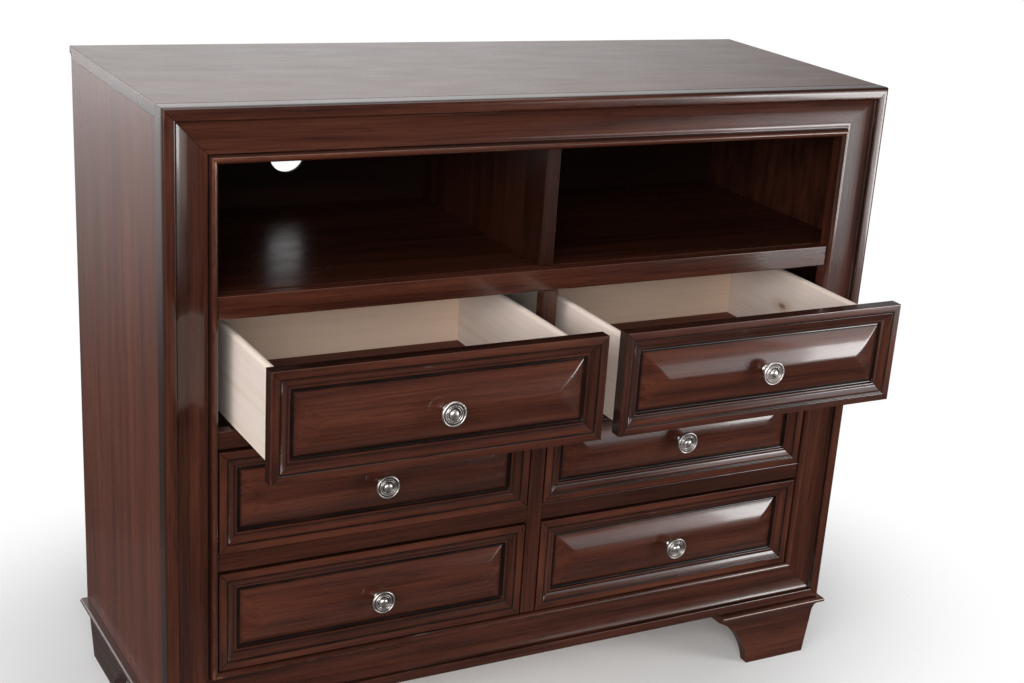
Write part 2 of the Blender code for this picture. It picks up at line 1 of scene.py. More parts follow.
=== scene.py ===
"""Media chest: the finished look of two open media bays over six drawers in a moulded frame.

Lengths are in metres and +Z is up. The front faces -Y and +X is to the right, seen from the front.
"""
import math

import bmesh
import bpy
import numpy as np
from bpy.props import FloatProperty, FloatVectorProperty, PointerProperty
from mathutils import Matrix, Vector


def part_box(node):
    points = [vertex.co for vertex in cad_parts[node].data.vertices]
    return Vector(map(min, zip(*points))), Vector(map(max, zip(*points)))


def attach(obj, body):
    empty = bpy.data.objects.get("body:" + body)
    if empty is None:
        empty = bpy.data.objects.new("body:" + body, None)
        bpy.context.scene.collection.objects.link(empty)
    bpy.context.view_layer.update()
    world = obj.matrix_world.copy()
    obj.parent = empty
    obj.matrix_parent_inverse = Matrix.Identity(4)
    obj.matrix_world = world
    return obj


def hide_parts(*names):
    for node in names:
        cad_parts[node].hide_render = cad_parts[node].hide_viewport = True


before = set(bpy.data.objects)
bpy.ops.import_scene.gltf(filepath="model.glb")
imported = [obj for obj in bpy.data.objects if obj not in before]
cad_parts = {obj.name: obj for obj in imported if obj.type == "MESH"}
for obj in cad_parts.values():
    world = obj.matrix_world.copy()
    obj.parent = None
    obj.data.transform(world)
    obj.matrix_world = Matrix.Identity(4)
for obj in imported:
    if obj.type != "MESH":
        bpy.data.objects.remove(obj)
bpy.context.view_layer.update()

bl_info = {
    "name": "Media Chest",
    "version": (1, 0, 0),
    "blender": (4, 5, 0),
    "location": "3D View > Sidebar > Media Chest",
    "description": "Builds the moulded frame, drawers, knobs and feet of a stained media chest",
    "category": "Object",
}

LEVELS = ("upper", "middle", "lower")
SIDES = (("left", -1.0), ("right", 1.0))
DRAWERS = [f"drawer_{level}_{side}" for level in LEVELS for side, _ in SIDES]

FIT = 0.0003  # gap between boards that are housed in each other
FRONT_THICKNESS = 0.021  # a drawer front from its back to its outer edge band
PANEL_EDGE = 0.0348  # from a drawer front's outer edge to where its raised panel begins
MITRE_GAP = 0.0002  # from a frame member's end to the mitre's own plane
FINE_ARRIS = 0.0006  # rounding of the side panels and the shelf
KNOB_HEIGHT = 0.0255  # a knob from its seat on the drawer front to its face
ARRIS_STEPS = 3  # straight pieces in a rounded arris
SEAM_BAND, PLAIN_BAND = 0.0022, 0.0002  # flat strip beside an arris, with a glazed seam and without

# Section of a frame member, from its outer edge in: thousandths of its width and of the moulding's
# depth, and how much glaze and painted shade lies there in hundredths
FRAME_SECTION = (
    (0, 480, 60), (8, 210, 45), (30, 60, 15), (70, 0, 0), (130, 30, 0), (195, 66, 0), (218, 86, 15),
    (228, 130, 70), (236, 220, 100), (244, 370, 70), (254, 480, 40), (270, 560, 30), (310, 630, 20),
    (360, 700, 12), (420, 772, 6), (480, 832, 2), (540, 872, 0), (600, 908, 0), (660, 941, 0),
    (720, 973, 0), (768, 1000, 0), (782, 998, 0), (800, 990, 0), (838, 955, 10), (846, 970, 90),
    (852, 990, 100), (860, 800, 90), (870, 480, 40), (888, 320, 10), (915, 260, 0), (950, 300, 0),
    (980, 400, 10), (1000, 560, 50),
)

# Section of a drawer front, from its outer edge in: runs and falls in millimetres, and the glaze
# with painted shade in its steps and grooves
FRONT_SECTION = (
    (0.00, 0.8, 0.50), (0.20, 0.2, 0.10), (0.80, 0.0, 0.00), (10.9, 0.0, 0.00), (11.5, 0.4, 0.70),
    (11.8, 1.6, 1.00), (13.7, 1.7, 0.90), (14.3, 1.6, 0.50), (16.4, 3.5, 0.10), (19.5, 5.3, 0.10),
    (23.5, 6.9, 0.50), (24.4, 7.0, 0.95), (25.3, 7.05, 0.5), (28.2, 7.2, 0.20), (28.7, 7.9, 0.60),
    (29.0, 11.4, 1.0), (31.0, 11.7, 1.0), (33.8, 11.6, 1.0), (34.4, 10.5, 0.9), (34.8, 10.3, 0.6),
)

# Section of a knob from its seat to its face: thousandths of its radius and of its height, and how
# much patina lies there in tenths
KNOB_SECTION = (
    (400, 0, 4), (420, 60, 1), (310, 140, 3), (290, 320, 2), (360, 480, 2), (580, 620, 2),
    (860, 690, 1), (970, 740, 0), (1000, 810, 0), (970, 880, 0), (910, 915, 0), (850, 890, 1),
    (815, 800, 9), (775, 780, 10), (745, 820, 6), (715, 880, 0), (675, 910, 0), (640, 880, 1),
    (615, 810, 9), (590, 810, 9), (565, 860, 1), (530, 885, 0), (495, 860, 1), (470, 780, 9),
    (430, 770, 10), (395, 830, 6), (360, 895, 0), (290, 950, 0), (200, 982, 0), (100, 997, 0),
    (20, 1000, 0),
)


def a_length(name, description, default, low=0.0):
    """A length that the user can change."""
    return FloatProperty(
        name=name, description=description, default=default, min=low, unit="LENGTH")


def a_power(name, description, default):
    """A lamp's power that the user can change."""
    return FloatProperty(
        name=name, description=description, default=default, min=0.0, unit="POWER")


def a_colour(name, description, default):
    """A colour, in linear values, that the user can change."""
    return FloatVectorProperty(name=name, description=description, default=default, size=3,
                               subtype="COLOR", min=0.0, max=1.0)


class ChestSizes(bpy.types.PropertyGroup):
    """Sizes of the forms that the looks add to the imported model."""

    member_width: a_length("Frame member width", "Width of the moulded frame members", 0.078, 0.02)
    moulding_depth: a_length(
        "Moulding depth", "Depth of the frame's cove below its outer bead", 0.0154, 0.001)
    board_arris: a_length("Board arris", "Rounding of the boards' edges", 0.0012, 0.0002)
    pillow_rise: a_length(
        "Panel rise", "Rise of a drawer's raised panel from its edge to its ridge", 0.0118)
    pillow_bulge: FloatProperty(
        name="Panel bulge", description="How much the raised panel's slopes bulge",
        default=0.80, min=0.0, max=1.0)
    hip_rounding: a_length(
        "Hip rounding", "Rounding of the raised panel's hips and ridge", 0.0030, 0.0002)
    cap_overhang: a_length(
        "Cap overhang", "How far the feet's cap stands out from the frame", 0.0096)
    arch_run: a_length("Arch run", "Length of the arch at a front foot's inner end", 0.078, 0.01)


class ChestFinishes(bpy.types.PropertyGroup):
    """Colours of the stain, the bare wood and the knobs."""

    stain_dark: a_colour(
        "Stain, dark streaks", "Darkest streaks of the stained wood", (0.015, 0.0045, 0.0028))
    stain_mid: a_colour("Stain, body", "Main colour of the stained wood", (0.052, 0.0142, 0.0080))
    stain_light: a_colour(
        "Stain, light streaks", "Lightest streaks of the stained wood", (0.100, 0.030, 0.0155))
    # glaze colour, also laid as painted shade in grooves, quirks, corners and the side panels'
    # inner faces
    glaze_and_shade: a_colour("Glaze", "Black glaze left in grooves and corners", (0.0045, 0.0020, 0.0016))
    # lighter colour on proud beads, lip noses and mitre corners: partly wear, partly a painted
    # highlight
    worn_and_highlight: a_colour("Worn edge", "Wood that shows through on rubbed edges", (0.210, 0.082, 0.045))
    birch_light: a_colour("Birch, light", "Pale wood of the drawer boxes", (0.800, 0.680, 0.605))
    birch_dark: a_colour("Birch, dark", "Darker streaks in the drawer boxes", (0.700, 0.555, 0.455))
    nickel: a_colour("Nickel", "Satin metal of the knobs", (0.650, 0.600, 0.575))


class ChestStage(bpy.types.PropertyGroup):
    """Lights around the chest and the floor's colour."""

    key_power: a_power("Key light", "Low bright light at the right front", 25.0)
    upper_power: a_power("Upper key light", "Weaker light above the key light", 7.5)
    edge_power: a_power("Key edge light", "Weaker light on the key light's near side", 2.8)
    front_power: a_power("Front light", "Soft light behind the camera", 89.0)
    left_power: a_power("Left light", "Tall soft light at the left front", 37.0)
    side_power: a_power("Side light", "Soft light that faces the left side", 27.0)
    back_power: a_power("Back light", "Soft light at the left behind the chest", 6.5)
    top_power: a_power("Top light", "Soft light overhead", 30.0)
    floor_colour: a_colour("Floor", "Colour of the plain floor", (0.86, 0.86, 0.86))


# Curves

def rounded(points, passes):
    """A smoother version of a line of points by corner cutting. It keeps its two ends.

    Each pass puts two points on every straight piece, a quarter and three quarters along it.
    """
    line = np.asarray(points, float)
    for _ in range(passes):
        here, ahead = line[:-1], line[1:]
        pair = np.stack((0.75 * here + 0.25 * ahead, 0.25 * here + 0.75 * ahead), axis=1)
        line = np.vstack((line[:1], pair.reshape(-1, line.shape[1]), line[-1:]))
    return line


def run_along(line):
    """Distance from the start of a line of points to each of its points."""
    steps = np.linalg.norm(np.diff(line, axis=0), axis=1)
    return np.concatenate(((0.0,), np.cumsum(steps)))


def hollows(line, reach):
    """How far each point of a section lies below (+) or above (-) the section's blurred version.

    The blur is an average over neighbours along the line, weighted by a bell curve whose width is
    the reach. Falls are the line's second column.
    """
    along = run_along(line)
    weights = np.exp(-0.5 * ((along[:, None] - along) / reach) ** 2) * np.gradient(along)
    return line[:, 1] - weights @ line[:, 1] / weights.sum(axis=1)


def soft_step(value, low, high):
    """Rises smoothly from 0 at low to 1 at high."""
    t = np.clip((value - low) / (high - low), 0.0, 1.0)
    return t * t * (3.0 - 2.0 * t)


def soft_min(a, b, width):
    """The smaller of two values, blended over a width where they are close."""
    safe = np.maximum(width, 1e-9)
    share = np.clip(0.5 + 0.5 * (b - a) / safe, 0.0, 1.0)
    blended = b * (1.0 - share) + a * share - safe * share * (1.0 - share)
    return np.where(width > 1e-6, blended, np.minimum(a, b))


# Meshes

def add_layer(mesh, layer, domain, values):
    """Gives each point or face of a mesh its value in a layer."""
    attribute = mesh.attributes.new(layer, "FLOAT", domain)
    attribute.data.foreach_set("value", np.asarray(values, np.float32).ravel())


def finish_piece(name, points, faces, layers, sharp_angle):
    """Puts points and faces into a mesh object, with its layers of values and its shading."""
    mesh = bpy.data.meshes.new(name)
    mesh.from_pydata(points.tolist(), [], faces)
    for layer, values in layers.items():
        add_layer(mesh, layer, "POINT", values)
    mesh.update()
    if signed_volume(mesh) < 0.0:
        mesh.flip_normals()
    mesh.shade_smooth()
    mesh.set_sharp_from_angle(angle=math.radians(sharp_angle))
    piece = bpy.data.objects.new(name, mesh)
    bpy.context.scene.collection.objects.link(piece)
    shading = piece.modifiers.new("Face-weighted shading", "WEIGHTED_NORMAL")
    shading.keep_sharp = True
    shading.weight = 60
    return piece


def signed_volume(mesh):
    """The volume of a closed mesh, below zero where its faces point inwards."""
    shape = bmesh.new()
    shape.from_mesh(mesh)
    volume = shape.calc_volume(signed=True)
    shape.free()
    return volume


def tube_piece(name, rings, layers, sharp_angle=50.0):
    """A closed piece from rings of points: quads between the rings and a flat face at each end."""
    count, around = rings.shape[:2]
    i, j = np.meshgrid(np.arange(count - 1), np.arange(around), indexing="ij")
    here, up, beside = i * around, (i + 1) * around, (j + 1) % around
    quads = np.stack((here + j, here + beside, up + beside, up + j), axis=-1)
    near = list(range(around))[::-1]
    far = list(range((count - 1) * around, count * around))
    faces = quads.reshape(-1, 4).tolist() + [near, far]
    return finish_piece(name, rings.reshape(-1, 3), faces, layers, sharp_angle)


def place(piece, body, slot, key, *nodes):
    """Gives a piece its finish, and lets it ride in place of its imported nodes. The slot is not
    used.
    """
    piece.data.materials.append(finish(key))
    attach(piece, body)
    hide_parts(*nodes)


def finish_packed(node, key):
    """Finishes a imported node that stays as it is."""
    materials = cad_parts[node].data.materials
    materials.clear()
    materials.append(finish(key))


def corner_curve(outline, radii, band):
    """A closed outline of corners with each corner turned into a curve.

    Between a point one radius before a corner and a point one radius after it, the outline is the
    quadratic curve that has the corner as its middle control point. A point stands one band
    further out on either side. Returns the points, their outward directions and each one's corner,
    or -1 for the points of the bands. The outline runs anticlockwise.
    """
    corner, radius = outline[:, None], radii[:, None, None]
    before = corner - np.roll(corner, 1, axis=0)
    before = before / np.linalg.norm(before, axis=2, keepdims=True)
    after = np.roll(before, -1, axis=0)
    start, end = corner - radius * before, corner + radius * after
    t = np.linspace(0.0, 1.0, ARRIS_STEPS + 1)[:, None]
    curve = (1 - t) ** 2 * start + 2 * t * (1 - t) * corner + t ** 2 * end
    heading = (1 - t) * before + t * after
    heading = heading / np.linalg.norm(heading, axis=2, keepdims=True)
    points = np.concatenate((start - band * before, curve, end + band * after), axis=1)
    heading = np.concatenate((before, heading, after), axis=1)
    outward = np.stack((heading[..., 1], -heading[..., 0]), axis=-1)
    owner = np.repeat(np.arange(len(corner))[:, None], points.shape[1], axis=1)
    owner[:, (0, -1)] = -1
    return points.reshape(-1, 2), outward.reshape(-1, 2), owner.ravel()


def board_rings(outline, outward, axis, start, end, arris, band):
    """An outline carried straight along an axis, with rounded arrises at its two ends.

    Near an end the outline is drawn in by the arris times one less the sine of an angle, and lies
    the arris times one less its cosine from the end, for angles from zero to a right angle. One
    more ring stands a band further in.
    """
    angle = np.linspace(0.0, math.pi / 2.0, ARRIS_STEPS + 1)
    pull = np.append(arris * (1.0 - np.sin(angle)), 0.0)
    offset = np.append(arris * (1.0 - np.cos(angle)), arris + band)
    inset = np.append(pull, pull[::-1])
    along = np.append(start + offset, (end - offset)[::-1])
    flat = outline - inset[:, None, None] * outward
    parts = [flat[..., 0], flat[..., 1]]
    parts.insert(axis, np.broadcast_to(along[:, None], flat.shape[:2]))
    return np.stack(parts, axis=-1)


def board_piece(name, corners, axis, start, end, arris, radii=None, seams=(), end_seam=0.0,
                painted_shade=((0.0, 0.0), 0.0)):
    """A closed board from an outline of corners in the two axes other than its own.

    Seams are (corner, glaze) pairs: dark glaze lies along those of its long arrises. The end seam
    is the glaze round its far end. The painted shade is a direction in the two axes and how dark
    the side that faces it is painted: painted shade on a face that stands in shade.
    """
    outline = np.asarray(corners, float)
    radii = np.broadcast_to(arris if radii is None else radii, (len(outline),))
    x, y = outline.T
    if np.sum(x * np.roll(y, -1) - np.roll(x, -1) * y) < 0.0:  # the corners run clockwise
        outline, radii = outline[::-1], radii[::-1]
        seams = [(len(outline) - 1 - corner, glaze_and_shade) for corner, glaze_and_shade in seams]
    band = SEAM_BAND if seams or end_seam else PLAIN_BAND
    points, outward, owner = corner_curve(outline, radii, band)
    rings = board_rings(points, outward, axis, start, end, arris, band)
    by_corner = np.zeros(len(outline) + 1)
    for corner, glaze_and_shade in seams:
        by_corner[corner] = glaze_and_shade
    ends = np.zeros((len(rings), 1))
    ends[-ARRIS_STEPS - 1:] = end_seam
    # points on the side that faces the painted shade's direction; that face is painted dark as
    # painted shade
    painted_shade_side = outward @ np.array(painted_shade[0]) > 0.6
    glaze_and_shade = np.maximum(np.maximum(by_corner[owner], ends), painted_shade[1] * painted_shade_side)
    return tube_piece(name, rings, {"glaze_and_shade": glaze_and_shade, "worn_and_highlight": np.zeros(glaze_and_shade.shape)}, 38.0)


def board_from_node(node, axis, arris, radii=None):
    """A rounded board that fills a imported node's box. The radii are those of its long arrises."""
    low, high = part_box(node)
    a, b = [i for i in range(3) if i != axis]
    corners = [(low[a], low[b]), (high[a], low[b]), (high[a], high[b]), (low[a], high[b])]
    return board_piece(f"{node}_board", corners, axis, low[axis], high[axis], arris, radii)


# Materials

def fill(tree, node, inputs):
    """Fills a node's own sockets with values or with other nodes' outputs."""
    for socket, value in inputs.items():
        if isinstance(value, bpy.types.NodeSocket):
            tree.links.new(value, node.inputs[socket])
        else:
            node.inputs[socket].default_value = value


def wire(tree, kind, inputs=None, **settings):
    """Adds a shader node with its settings and fills its sockets."""
    made = tree.nodes.new(f"ShaderNode{kind}")
    for setting, value in settings.items():
        setattr(made, setting, value)
    fill(tree, made, inputs or {})
    return made


def mix_colour(tree, factor, a, b, blend="MIX"):
    """A colour between a and b. Colours are sockets or linear triples."""
    a, b = (c if isinstance(c, bpy.types.NodeSocket) else (*c, 1.0) for c in (a, b))
    inputs = {0: factor, 6: a, 7: b}
    return wire(tree, "Mix", inputs, data_type="RGBA", blend_type=blend).outputs[2]


def mix_shader(tree, factor, a, b):
    """A blend of two shaders."""
    inputs = {0: factor, 1: a.outputs[0], 2: b.outputs[0]}
    return wire(tree, "MixShader", inputs).outputs[0]


def maths(tree, operation, a, b=0.0, clamp=False):
    """One sum on two values or sockets."""
    made = wire(tree, "Math", {0: a, 1: b}, operation=operation, use_clamp=clamp)
    return made.outputs[0]


def weighted(tree, *parts):
    """The sum of (value, weight) pairs."""
    total = maths(tree, "MULTIPLY", *parts[0])
    for value, weight in parts[1:]:
        total = maths(tree, "ADD", total, maths(tree, "MULTIPLY", value, weight))
    return total


def vectors(tree, operation, a, b=(0.0, 0.0, 0.0), output=0):
    """One sum on two vectors. A length or a dot product comes out at output 1."""
    return wire(tree, "VectorMath", {0: a, 1: b}, operation=operation).outputs[output]


def spread(tree, value, low, high, out_low=0.0, out_high=1.0, run="LINEAR"):
    """A value moved from one range to another and held inside it, straight or eased."""
    inputs = {"Value": value, "From Min": low, "From Max": high,
              "To Min": out_low, "To Max": out_high}
    return wire(tree, "MapRange", inputs, interpolation_type=run).outputs["Result"]


def grey(tree, level):
    """The grey of a level."""
    return wire(tree, "CombineColor", {0: level, 1: level, 2: level}).outputs[0]


def ramp(tree, value, places, colours):
    """A smooth colour ramp through three linear colours."""
    made = wire(tree, "ValToRGB", {"Fac": value})
    made.color_ramp.interpolation = "B_SPLINE"
    made.color_ramp.elements.new(0.5)
    for element, position, colour in zip(made.color_ramp.elements, places, colours):
        element.position = position
        element.color = (*colour, 1.0)
    return made.outputs["Color"]


def own_value(tree, layer):
    """The piece's own value in one of its layers."""
    return wire(tree, "Attribute", attribute_name=layer).outputs["Fac"]


def object_place(tree):
    """The place on the piece, in metres."""
    return wire(tree, "TexCoord").outputs["Object"]


def bump(tree, height, strength, distance):
    """The surface's direction, tilted by a height."""
    inputs = {"Height": height, "Strength": strength, "Distance": distance}
    return wire(tree, "Bump", inputs).outputs["Normal"]


def noise(tree, vector, scale, detail=4.0, rough=0.55, warp=0.0):
    """Noise of a scale on a vector."""
    inputs = {"Vector": vector, "Scale": scale, "Detail": detail, "Roughness": rough,
              "Distortion": warp}
    return wire(tree, "TexNoise", inputs).outputs["Fac"]


def grain_space(tree, axis, stretch):
    """Object coordinates with the grain's own direction drawn out.

    Axis 3 stands for a mitred frame: its grain runs along x, and along z where the faces are
    marked as upright.
    """
    if axis == 3:
        inputs = {0: own_value(tree, "upright"), 4: grain_space(tree, 0, stretch),
                  5: grain_space(tree, 2, stretch)}
        return wire(tree, "Mix", inputs, data_type="VECTOR").outputs[1]
    scale = [1.0, 1.0, 1.0]
    scale[axis] = stretch
    inputs = {"Vector": object_place(tree), "Scale": scale}
    return wire(tree, "Mapping", inputs).outputs["Vector"]


def grain(tree, axis, stretch, *settings):
    """Noise that is drawn out along the grain."""
    return noise(tree, grain_space(tree, axis, stretch), *settings)


def new_material(name):
    """An empty material with a Principled shader. Returns the material, its tree and the shader."""
    material = bpy.data.materials.new(name)
    material.use_nodes = True
    tree = material.node_tree
    return material, tree, tree.nodes["Principled BSDF"]


def stained_wood(name, axis, colours, tone, rough, coat, contrast, ripple, gloss):
    """Stained, lacquered wood: grain, pores, glaze and painted shade, wear and painted highlight.

    Noises that are drawn out along the grain give broad streaks, fine fibres and pores. A wide
    noise blotches the stain. Their weighted sum, centred on one half, picks the colour from the
    dark streaks to the light ones. The piece's own glaze-and-shade values lay black into hollows,
    as glaze and as painted shade, and its worn-and-highlight values rub the proud edges through,
    as wear and as a painted highlight.
    """
    material, tree, shader = new_material(name)
    wide = grain(tree, axis, 0.25, 6.0, 2.0, 0.5, 0.3)
    streak = grain(tree, axis, 0.045, 48.0, 4.0, 0.60, 0.15)
    fibre = grain(tree, axis, 0.022, 300.0, 4.0, 0.65)
    pores = grain(tree, axis, 0.035, 900.0, 2.0, 0.6)
    weights = np.array((1.1, 2.1, 1.15, 0.35)) * contrast
    level = weighted(tree, *zip((wide, streak, fibre, pores), weights.tolist()))
    level = maths(tree, "ADD", level, 0.5 - 0.5 * float(weights.sum()), clamp=True)
    stains = [[c * tone for c in stain]
              for stain in (colours.stain_dark, colours.stain_mid, colours.stain_light)]
    colour = ramp(tree, level, (0.0, 0.5, 1.0), stains)
    line = spread(tree, grain(tree, axis, 0.05, 420.0, 2.0, 0.5), 0.30, 0.38, 0.68, 1.0)
    colour = mix_colour(tree, 1.0, colour, grey(tree, line), "MULTIPLY")
    # glaze and painted shade: the piece's own darkening in hollows, corners and shaded faces, made
    # patchy
    patchy = spread(tree, grain(tree, axis, 0.3, 55.0, 3.0), 0.25, 0.75, 0.72, 1.15)
    glaze_and_shade = maths(tree, "MULTIPLY", own_value(tree, "glaze_and_shade"), patchy, clamp=True)
    colour = mix_colour(tree, glaze_and_shade, colour, colours.glaze_and_shade)
    # worn edges: partly wear, partly a painted highlight on proud beads, lip noses and mitre
    # corners
    chips_and_glints = spread(tree, grain(tree, axis, 0.35, 120.0, 4.0, 0.7), 0.44, 0.66)
    worn_and_highlight = maths(tree, "MULTIPLY", own_value(tree, "worn_and_highlight"), chips_and_glints, clamp=True)
    colour = mix_colour(tree, worn_and_highlight, colour, colours.worn_and_highlight)
    dull = spread(tree, grain(tree, axis, 0.4, 24.0), 0.3, 0.7, rough - 0.03, rough + 0.04)
    wavy = grain(tree, axis, 0.35, 30.0, 2.0, 0.4)
    height = weighted(tree, (wavy, ripple), (fibre, 0.12), (pores, 0.10))
    fill(tree, shader, {
        "Base Color": colour, "Roughness": dull, "IOR": 1.5, "Specular IOR Level": gloss,
        "Coat Weight": coat, "Coat Roughness": 0.075, "Normal": bump(tree, height, 0.3, 0.0006)})
    return material


def birch_wood(name, axis, colours, tint, knot):
    """Pale birch of the drawer boxes: soft streaks, fine pores and, where given, one small knot.

    The knot is a dark heart in a brown halo, both of which fade with a ragged distance from its
    place that counts for less along the grain.
    """
    material, tree, shader = new_material(name)
    streak = grain(tree, axis, 0.06, 26.0, 3.0, 0.5, 0.2)
    bands = grain(tree, axis, 0.02, 160.0, 5.0, 0.65)
    pores = grain(tree, axis, 0.05, 620.0, 2.0, 0.6)
    figure = weighted(tree, (streak, 0.35), (bands, 0.55), (pores, 0.20))
    dark, light = ([a * b for a, b in zip(wood, tint)]
                   for wood in (colours.birch_dark, colours.birch_light))
    colour = ramp(tree, spread(tree, figure, 0.40, 0.66), (0.0, 0.55, 1.0), (dark, light, light))
    if knot is not None:
        centre, size = knot
        scale = [1.0 / size] * 3
        scale[axis] = 0.45 / size
        shift = vectors(tree, "SUBTRACT", object_place(tree), centre)
        distance = vectors(tree, "LENGTH", vectors(tree, "MULTIPLY", shift, scale), output=1)
        ragged = weighted(tree, (distance, 1.0), (grain(tree, axis, 0.06, 90.0), 0.5))
        halo = spread(tree, ragged, 0.8, 3.0, 0.5, 0.0)
        heart = spread(tree, ragged, 0.35, 1.25, 1.0, 0.0)
        colour = mix_colour(tree, halo, colour, (0.50, 0.31, 0.17))
        colour = mix_colour(tree, heart, colour, (0.16, 0.065, 0.030))
    fill(tree, shader, {
        "Base Color": colour, "Roughness": 0.48, "Normal": bump(tree, pores, 0.12, 0.0004)})
    return material


def satin_nickel(name, colours):
    """Brushed nickel with a darker patina in the rings' grooves."""
    material, tree, shader = new_material(name)
    source = object_place(tree)
    patina = maths(tree, "MULTIPLY", own_value(tree, "glaze_and_shade"), 0.74)
    colour = mix_colour(tree, patina, colours.nickel, (0.080, 0.066, 0.061))
    mottled = spread(tree, noise(tree, source, 420.0), 0.3, 0.7, 0.86, 1.06)
    colour = mix_colour(tree, 1.0, colour, grey(tree, mottled), "MULTIPLY")
    rough = spread(tree, noise(tree, source, 900.0, 3.0), 0.3, 0.7, 0.30, 0.42)
    fill(tree, shader, {
        "Base Color": colour, "Metallic": 1.0, "Roughness": rough,
        "Normal": bump(tree, noise(tree, source, 1500.0, 2.0), 0.08, 0.0002)})
    return material


# Stained woods: tone, roughness, clear coat, the figure's contrast, the lacquer's ripple, and
# gloss.
# The low tones of rail, interior, shelf and backing are painted shade: the rails' for their recess
# between the drawers, the others a dark stain made darker still for the shade deep in the bays
STAINED = {
    "cherry": (0.95, 0.22, 0.45, 0.80, 0.12, 0.38), "rail": (0.63, 0.22, 0.45, 0.70, 0.12, 0.38),
    "front": (1.22, 0.22, 0.45, 0.70, 0.12, 0.38), "side": (1.85, 0.28, 0.16, 0.50, 0.02, 0.30),
    "panel": (1.60, 0.28, 0.30, 0.50, 0.02, 0.50), "interior": (0.42, 0.24, 0.0, 0.60, 0.03, 0.12),
    "shelf": (0.60, 0.26, 0.0, 0.60, 0.03, 0.20), "backing": (0.22, 0.55, 0.0, 0.70, 0.0, 0.10),
    "bottom": (2.20, 0.60, 0.0, 0.60, 0.10, 0.20),
}
PLAIN_TINT, BACK_WARM_SHADE = (1.0, 1.0, 1.0), (1.0, 0.88, 0.76)  # the drawers' backs are painted warmer: painted warm shade from light bounced inside the drawers
KNOT = ((0.4857, -0.057, 0.6585), 0.0065)  # place and size of the knot in a drawer's side
FINISHES = {}


def finish(key):
    """The material of a finish, made once. A wood's key ends in the axis that its grain follows."""
    if key not in FINISHES:
        colours = bpy.context.scene.chest_finishes
        kind, _, letter = key.rpartition("_")
        axis = "xyzm".find(letter)
        if kind in STAINED:
            FINISHES[key] = stained_wood(key, axis, colours, *STAINED[kind])
        elif kind in ("birch", "hardwood", "knotted"):
            # the drawers' backs get the warm painted shade
            tint = BACK_WARM_SHADE if key == "birch_x" else PLAIN_TINT
            knot = KNOT if kind == "knotted" else None
            FINISHES[key] = birch_wood(key, axis, colours, tint, knot)
        elif key == "nickel":
            FINISHES[key] = satin_nickel(key, colours)
        else:
            raise ValueError(f"there is no finish named {key}")
    return FINISHES[key]


# Pieces

def member_rings(length, width, depth, thickness):
    """A mitred member: the rounded section at stations that keep a set distance from each mitre.

    A point's place along the member is half the length, less its distance from the outer edge,
    less the station's own distance, counted from both ends. Glaze darkens the mitres, and the
    section's listed glaze darkens its quirk and steps as glaze and painted shade. The proud beads
    are lightened, partly as wear and partly as a painted highlight, most of all near the mitres.
    """
    section = rounded(np.array(FRAME_SECTION) / (1000, 1000, 100) * (width, depth, 1.0), 2)
    section, dark = section[:, :2], section[:, 2]
    arris = 0.001
    back = np.array([(width, thickness - arris), (width - arris, thickness),
                     (arris, thickness), (0.0, thickness - arris)])
    outline = np.vstack((section, back))
    plain = np.zeros(len(back))
    # proud parts of the section are lightened, partly as wear and partly as a painted highlight
    worn_and_highlight = np.append(soft_step(-hollows(section, 0.0030), 0.0003, 0.0012), plain)
    stations = np.array((0.0, 0.0008, 0.0022, 0.006, 0.016, 0.05))
    left = stations[:, None] - (length / 2.0 - MITRE_GAP - outline[None, :, 0])
    x = np.concatenate((left, -left[::-1]))
    rings = np.stack(np.broadcast_arrays(x, outline[:, 1], -outline[:, 0]), axis=-1)
    near = np.append(stations, stations[::-1])[:, None]
    mitre = 1.0 - soft_step(near, 0.0002, 0.0016)
    chipped_and_glinting = 1.6 * (1.0 - soft_step(near, 0.0005, 0.018)) * worn_and_highlight
    return rings, {"glaze_and_shade": np.maximum(np.append(dark, plain), 0.35 * mitre),
                   "worn_and_highlight": np.clip(0.28 * worn_and_highlight + chipped_and_glinting, 0.0, 1.0)}


class CHEST_OT_face_frame(bpy.types.Operator):
    """Build the four moulded and mitred members of the face frame"""

    bl_idname = "chest.face_frame"
    bl_label = "Face Frame"

    def execute(self, context):
        sizes = context.scene.chest_sizes
        low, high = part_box("frame_top_rail")
        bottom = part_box("frame_bottom_rail")[0].z
        edge, height, middle = high.x + FIT, high.z - bottom, (high.z + bottom) / 2.0
        depth, thickness = sizes.moulding_depth, high.y - low.y
        places = {"top_rail": (0.0, high.z), "right_stile": (edge, middle),
                  "bottom_rail": (0.0, bottom), "left_stile": (-edge, middle)}
        for turns, (member, (x, z)) in enumerate(places.items()):
            length, wood = (height, "cherry_z") if x else (2.0 * edge, "cherry_x")
            rings, layers = member_rings(length, sizes.member_width, depth, thickness)
            turn = np.array(Matrix.Rotation(turns * math.pi / 2.0, 3, "Y"))
            rings = rings @ turn.T + np.array((x, low.y, z))
            piece = tube_piece(f"frame_{member}_moulding", rings, layers)
            place(piece, "chest", "cherry_frame", wood, f"frame_{member}")
        return {"FINISHED"}


